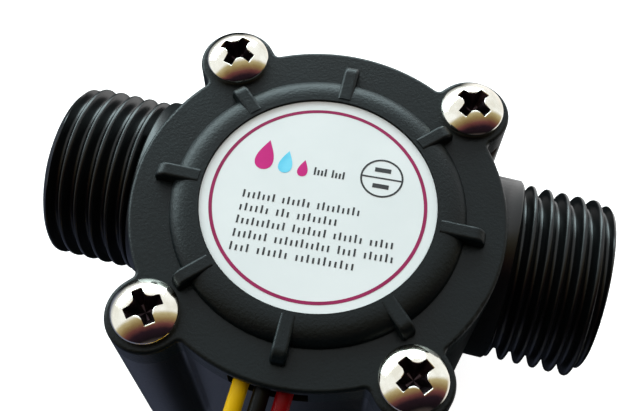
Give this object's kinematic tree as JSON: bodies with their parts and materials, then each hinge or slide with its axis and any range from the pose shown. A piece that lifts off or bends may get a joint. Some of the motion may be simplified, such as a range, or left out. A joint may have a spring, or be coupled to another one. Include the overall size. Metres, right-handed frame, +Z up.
{
  "type": "water flow sensor",
  "caption": "In-line water flow sensor: threaded pipe through a round impeller chamber with a screwed cover and a three-wire lead.",
  "frame": {"origin": "centre of the base's flat underside, under the impeller's axis", "axes": "+X along the pipe from inlet to outlet, +Z up along the impeller's axis towards the cover, +Y towards the side that the pipe is offset to; the lead leaves towards -Y"},
  "size_m": [0.063, 0.0985, 0.0301],
  "materials": {
    "body_plastic": "moulded glass-filled nylon, satin",
    "cover_plastic": "moulded glass-filled nylon, matt",
    "plate_plastic": "moulded nylon",
    "label_film": "printed satin film",
    "screw_steel": "bright nickel-plated steel",
    "shaft_steel": "ground stainless steel",
    "seal_rubber": "moulded nitrile rubber",
    "impeller_plastic": "moulded acetal",
    "ferrite": "pressed ferrite",
    "board_laminate": "solder-masked laminate",
    "chip_epoxy": "moulded epoxy",
    "yellow_insulation": "extruded PVC",
    "black_insulation": "extruded PVC",
    "red_insulation": "extruded PVC",
    "plug_nylon": "moulded natural nylon",
    "terminal_tin": "tin-plated bronze"
  },
  "bodies": {
    "housing": {"valve_body": "body_plastic", "top_cover": "cover_plastic", "middle_plate": "plate_plastic", "label": "label_film", "body_o_ring": "seal_rubber", "electronics_seal": "seal_rubber", "wire_grommet": "seal_rubber", "impeller_shaft": "shaft_steel", "thrust_bead": "shaft_steel", "circuit_board": "board_laminate", "hall_sensor": "chip_epoxy", "pull_up_resistor": "chip_epoxy", "bypass_capacitor": "chip_epoxy", "wire_yellow": "yellow_insulation", "wire_black": "black_insulation", "wire_red": "red_insulation", "plug_housing": "plug_nylon", "cover_screw_1": "screw_steel", "cover_screw_2": "screw_steel", "cover_screw_3": "screw_steel", "cover_screw_4": "screw_steel", "crimp_terminal_1": "terminal_tin", "crimp_terminal_2": "terminal_tin", "crimp_terminal_3": "terminal_tin"},
    "rotor": {"impeller": "impeller_plastic", "ring_magnet": "ferrite"}
  },
  "joints": [
    {"name": "impeller_spin", "type": "hinge", "parent": "housing", "child": "rotor", "pos_m": [0, 0, 0.012], "axis": [0, 0, 1], "continuous": true}
  ]
}
